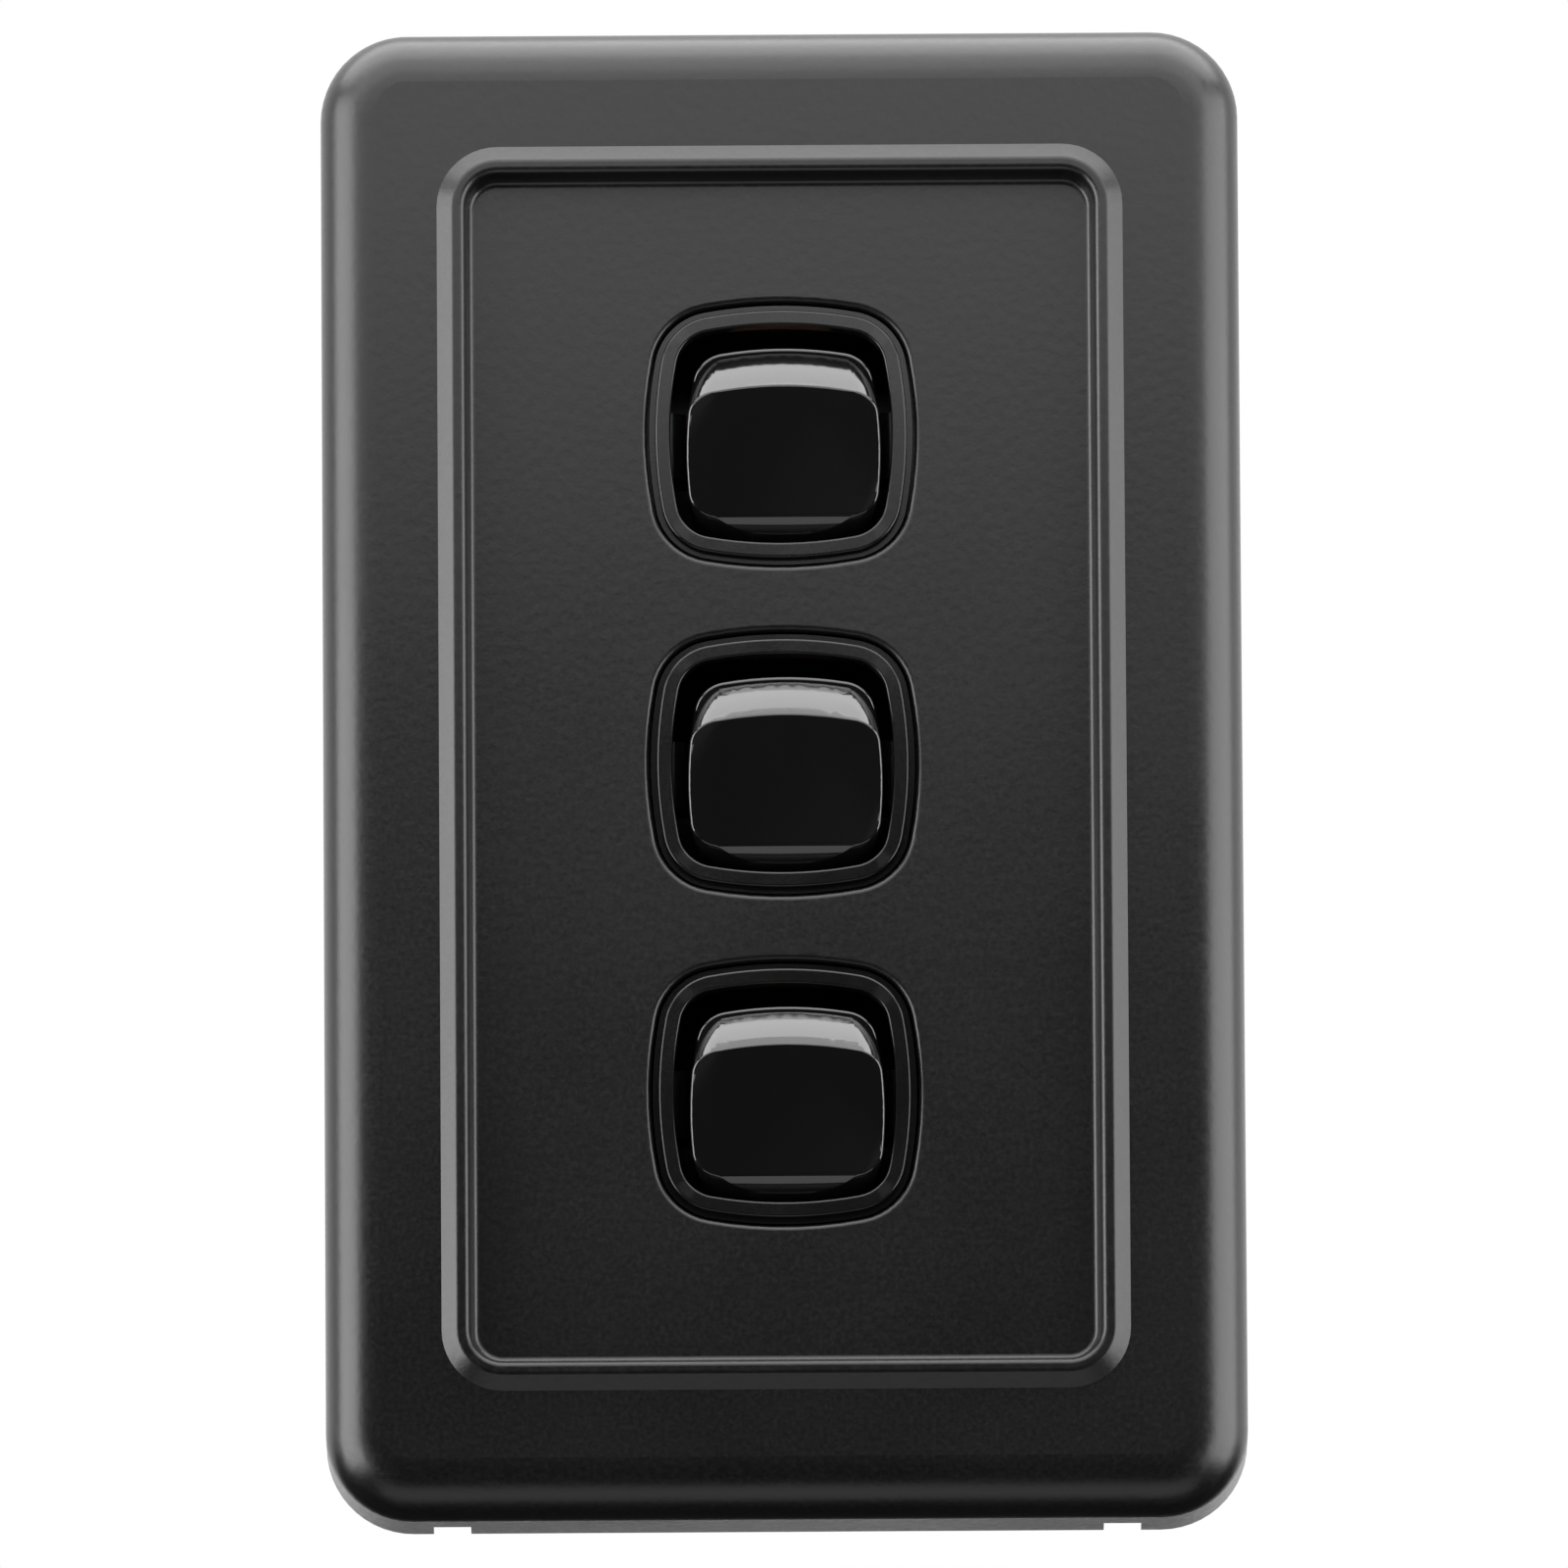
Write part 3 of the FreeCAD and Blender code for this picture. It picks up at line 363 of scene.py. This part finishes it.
def thread(radius, depth, pitch, start, end):
    """Profile points of a threaded shank at an angle: a triangular ridge that climbs with it."""
    count = int((end - start) / pitch * RINGS_PER_PITCH)

    def at(angle):
        found = []
        for index in range(count + 1):
            height = start + (end - start) * index / count
            phase = (height / pitch - angle / (2 * math.pi)) % 1.0
            ridge = abs(2 * phase - 1)
            taper = min(1.0, (end - height) / (TIP_START * pitch) + TIP_RADIUS)
            found.append(((radius - depth * ridge) * taper, height))
        return found

    return at


def slotted_head(radius, height, dome, slots, slot_half, reach, depth):
    """A head as a fine grid over its top, with slots cut in, and a plain rounded side."""
    cells = HEAD_CELLS
    points, faces, index = [], [], {}
    edge = HEAD_EDGE * radius
    for row in range(cells + 1):
        for column in range(cells + 1):
            # A square grid pulled onto a disc keeps the slots' walls straight
            u = 2 * column / cells - 1
            v = 2 * row / cells - 1
            x = u * math.sqrt(1 - v * v / 2) * radius
            z = v * math.sqrt(1 - u * u / 2) * radius
            r = math.hypot(x, z)
            y = dome * (r / radius) ** 2
            if r > radius - edge:
                over = min(1.0, (r - radius + edge) / edge)
                y += edge * (1 - math.sqrt(max(0.0, 1 - over * over)))
            for angle in slots:
                along = x * math.cos(angle) + z * math.sin(angle)
                across = -x * math.sin(angle) + z * math.cos(angle)
                if abs(across) < slot_half and abs(along) < reach:
                    y = max(y, depth)
            index[row, column] = len(points)
            points.append(Vector((x, y, z)))
    for row in range(cells):
        for column in range(cells):
            low, high = (row, column), (row + 1, column + 1)
            faces.append((index[low], index[row, column + 1], index[high], index[row + 1, column]))
    rim = [index[0, c] for c in range(cells)]
    rim += [index[r, cells] for r in range(cells)]
    rim += [index[cells, c] for c in range(cells, 0, -1)]
    rim += [index[r, 0] for r in range(cells, 0, -1)]
    under = []
    for corner in rim:
        p = points[corner]
        under.append(len(points))
        points.append(Vector((p.x, height, p.z)))
    for step in range(len(rim)):
        following = (step + 1) % len(rim)
        faces.append((rim[step], under[step], under[following], rim[following]))
    faces.append(tuple(under))
    return points, faces


GRID_FLOOR = -2.4 * MM
MOUNT_HEAD = 2.0 * MM
MOUNT_NECK = 1.4 * MM
MOUNT_LENGTH = 28 * MM
MOUNT_SIDES = 28
SCREW_CENTRES = 84 * MM


def make_mounting_screws():
    """The two fixing screws with cross slots, each with a plain neck in the grid plate."""
    parts = []
    for sign, spin in ((1, 0.35), (-1, 1.1)):
        seat = Vector((0.0, GRID_FLOOR - MOUNT_HEAD, sign * SCREW_CENTRES / 2))
        turn = Matrix.Translation(seat) @ Matrix.Rotation(spin, 4, "Y")
        neck_end = -seat.y
        cap = slotted_head(
            radius=3.2 * MM,
            height=MOUNT_HEAD,
            dome=0.45 * MM,
            slots=(0.0, math.pi / 2),
            slot_half=0.4 * MM,
            reach=2.2 * MM,
            depth=1.1 * MM,
        )
        neck = turned(lambda angle: [(MOUNT_NECK, MOUNT_HEAD), (MOUNT_NECK, neck_end)], MOUNT_SIDES)
        ridge = thread(1.75 * MM, 0.32 * MM, 0.6 * MM, neck_end, MOUNT_LENGTH + neck_end)
        parts += [placed(part, turn) for part in (cap, neck, turned(ridge, MOUNT_SIDES))]
    points, faces = joined(*parts)
    mesh_object("mounting_screw_pair", points, faces, "screw_steel", "root", "mounting_screws")


CLAMPS = ((-1, 1), (-1, -1), (1, -1), (1, 1))
CLAMP_DEPTH = 15 * MM
CLAMP_END = 9.9 * MM
CLAMP_NECK = 8.5 * MM
CLAMP_INNER = 7.45 * MM
CLAMP_SIDES = 24
TERMINAL_Z = 5.4 * MM


def make_clamp_screws(gang, row):
    """The four clamp screws of one switch, each with one slot and turned its own way."""
    parts = []
    for number, (side, up) in enumerate(CLAMPS):
        seat = Vector((side * CLAMP_END, CLAMP_DEPTH, up * TERMINAL_Z + GROUP_SHIFT + row * PITCH))
        # The head faces outwards: its own +Y points in along X
        turn = Matrix.Translation(seat) @ Matrix.Rotation(side * math.pi / 2, 4, "Z")
        turn = turn @ Matrix.Rotation(0.5 + 0.9 * number + 0.4 * row, 4, "Y")
        cap = slotted_head(
            radius=1.35 * MM,
            height=CLAMP_END - CLAMP_NECK,
            dome=0.1 * MM,
            slots=(0.0,),
            slot_half=0.19 * MM,
            reach=2 * MM,
            depth=0.6 * MM,
        )
        ridge = thread(1.25 * MM, 0.2 * MM, 0.45 * MM, CLAMP_END - CLAMP_NECK, CLAMP_END - CLAMP_INNER)
        parts += [placed(cap, turn), placed(turned(ridge, CLAMP_SIDES), turn)]
    points, faces = joined(*parts)
    mesh_object(
        f"clamp_screws_{gang}", points, faces, "screw_steel", "root", f"terminal_screws_{gang}"
    )


make_mounting_screws()
for gang, row in GANGS.items():
    make_clamp_screws(gang, row)


# ---- Stage, light and camera -----------------------------------------------------------------

FLOOR_LEVEL = -0.8
FLOOR_HALF = 12.0
WORLD_FRONT = 0.03
WORLD_BACK = 1.25
WORLD_START = 0.05
WORLD_FULL = 0.5
WORLD_BELOW = 4.0


def make_floor():
    """A pale floor far below, seen by the camera but not in reflections or bounced light."""
    mesh = bpy.data.meshes.new("floor")
    corners = [(x * FLOOR_HALF, y * FLOOR_HALF, FLOOR_LEVEL) for x, y in ((-1, -1), (1, -1), (1, 1), (-1, 1))]
    mesh.from_pydata(corners, [], [(0, 1, 2, 3)])
    floor = bpy.data.objects.new("floor", mesh)
    bpy.context.scene.collection.objects.link(floor)
    shader = Shader("floor_paint")
    shader.set(Roughness=0.8, Emission_Strength=0.6)
    shader.principled.inputs["Emission Color"].default_value = (1.0, 1.0, 1.0, 1.0)
    shader.colour(shader.mixed(shader.noise(0.4, 2.0), (0.80, 0.80, 0.80), (0.84, 0.84, 0.84)))
    mesh.materials.append(shader.material)
    floor.visible_diffuse = False
    floor.visible_glossy = False


def make_world():
    """White to the eye. As light it is bright behind the object and above its foot, else dim."""
    world = bpy.data.worlds.new("studio")
    world.use_nodes = True
    bpy.context.scene.world = world
    nodes, links = world.node_tree.nodes, world.node_tree.links
    nodes.clear()

    def node(kind, inputs=(), **settings):
        made = nodes.new(kind)
        for key, value in settings.items():
            setattr(made, key, value)
        for key, value in inputs:
            if isinstance(value, bpy.types.NodeSocket):
                links.new(value, made.inputs[key])
            else:
                made.inputs[key].default_value = value
        return made

    output = node("ShaderNodeOutputWorld")
    place = node("ShaderNodeTexCoord")
    split = node("ShaderNodeSeparateXYZ", [("Vector", place.outputs["Generated"])])
    below = node("ShaderNodeMath", [(0, split.outputs["Z"]), (1, 0.0)], operation="MINIMUM")
    depth = node(
        "ShaderNodeMath",
        [(0, below.outputs["Value"]), (1, WORLD_BELOW), (2, split.outputs["Y"])],
        operation="MULTIPLY_ADD",
    )
    behind = node(
        "ShaderNodeMapRange",
        [
            ("Value", depth.outputs["Value"]),
            ("From Min", WORLD_START),
            ("From Max", WORLD_FULL),
            ("To Min", WORLD_FRONT),
            ("To Max", WORLD_BACK),
        ],
        interpolation_type="SMOOTHSTEP",
    )
    white = (1.0, 1.0, 1.0, 1.0)
    light = node("ShaderNodeBackground", [("Color", white), ("Strength", behind.outputs["Result"])])
    seen = node("ShaderNodeBackground", [("Color", white), ("Strength", 1.0)])
    ray = node("ShaderNodeLightPath")
    mix = node(
        "ShaderNodeMixShader",
        [
            (0, ray.outputs["Is Camera Ray"]),
            (1, light.outputs["Background"]),
            (2, seen.outputs["Background"]),
        ],
    )
    links.new(mix.outputs["Shader"], output.inputs["Surface"])


def softbox(name, place, aim, width, height, brightness):
    """A rectangular white light of a given surface brightness, whatever its size."""
    light = bpy.data.lights.new(name, "AREA")
    light.shape = "RECTANGLE"
    light.size, light.size_y = width, height
    light.energy = brightness * math.pi * width * height
    holder = bpy.data.objects.new(name, light)
    bpy.context.scene.collection.objects.link(holder)
    holder.location = place
    holder.rotation_mode = "QUATERNION"
    holder.rotation_quaternion = (Vector(aim) - Vector(place)).to_track_quat("-Z", "Y")
    holder.visible_camera = False


make_floor()
make_world()
softbox("light_top", (0.0, 0.0, 0.32), (0.0, 0.0, 0.0), 0.8, 0.26, 5.6)
softbox("light_slope", (0.0, -0.19, 0.26), (0.0, 0.0, 0.04), 0.6, 0.17, 3.3)
softbox("light_front", (0.0, -0.22, 0.127), (0.0, 0.0, 0.127), 0.5, 0.13, 2.0)
softbox("light_left", (-0.42, -0.14, 0.0), (0.0, 0.0, 0.0), 0.36, 0.5, 6.4)
softbox("light_right", (0.43, -0.12, 0.0), (0.0, 0.0, 0.0), 0.46, 0.5, 5.0)
softbox("light_low", (0.0, -0.13, -0.38), (0.0, 0.0, 0.0), 0.5, 0.21, 0.85)

SENSOR = 36.0
CAMERA_DISTANCE = 3.0
FRAME_WIDTH = 0.1222
CAMERA_ELEVATION = math.radians(-10)
CAMERA_ROLL = math.radians(-0.35)
AIM_UP = 0.38 * MM
AIM_RIGHT = 0.08 * MM


def make_camera():
    """A long lens straight in front and a little below, which frames the object tightly."""
    data = bpy.data.cameras.new("camera")
    data.sensor_width = SENSOR
    data.lens = SENSOR * CAMERA_DISTANCE / FRAME_WIDTH
    data.clip_start = 0.5
    data.clip_end = 20.0
    camera = bpy.data.objects.new("camera", data)
    bpy.context.scene.collection.objects.link(camera)
    forward = Vector((0.0, math.cos(CAMERA_ELEVATION), -math.sin(CAMERA_ELEVATION)))
    right = Vector((1.0, 0.0, 0.0))
    upward = right.cross(forward)
    camera.location = upward * AIM_UP + right * AIM_RIGHT - forward * CAMERA_DISTANCE
    camera.rotation_mode = "QUATERNION"
    turn = Matrix((right, upward, -forward)).transposed() @ Matrix.Rotation(CAMERA_ROLL, 3, "Z")
    camera.rotation_quaternion = turn.to_quaternion()
    bpy.context.scene.camera = camera


make_camera()
bpy.context.scene.view_settings.view_transform = "Standard"
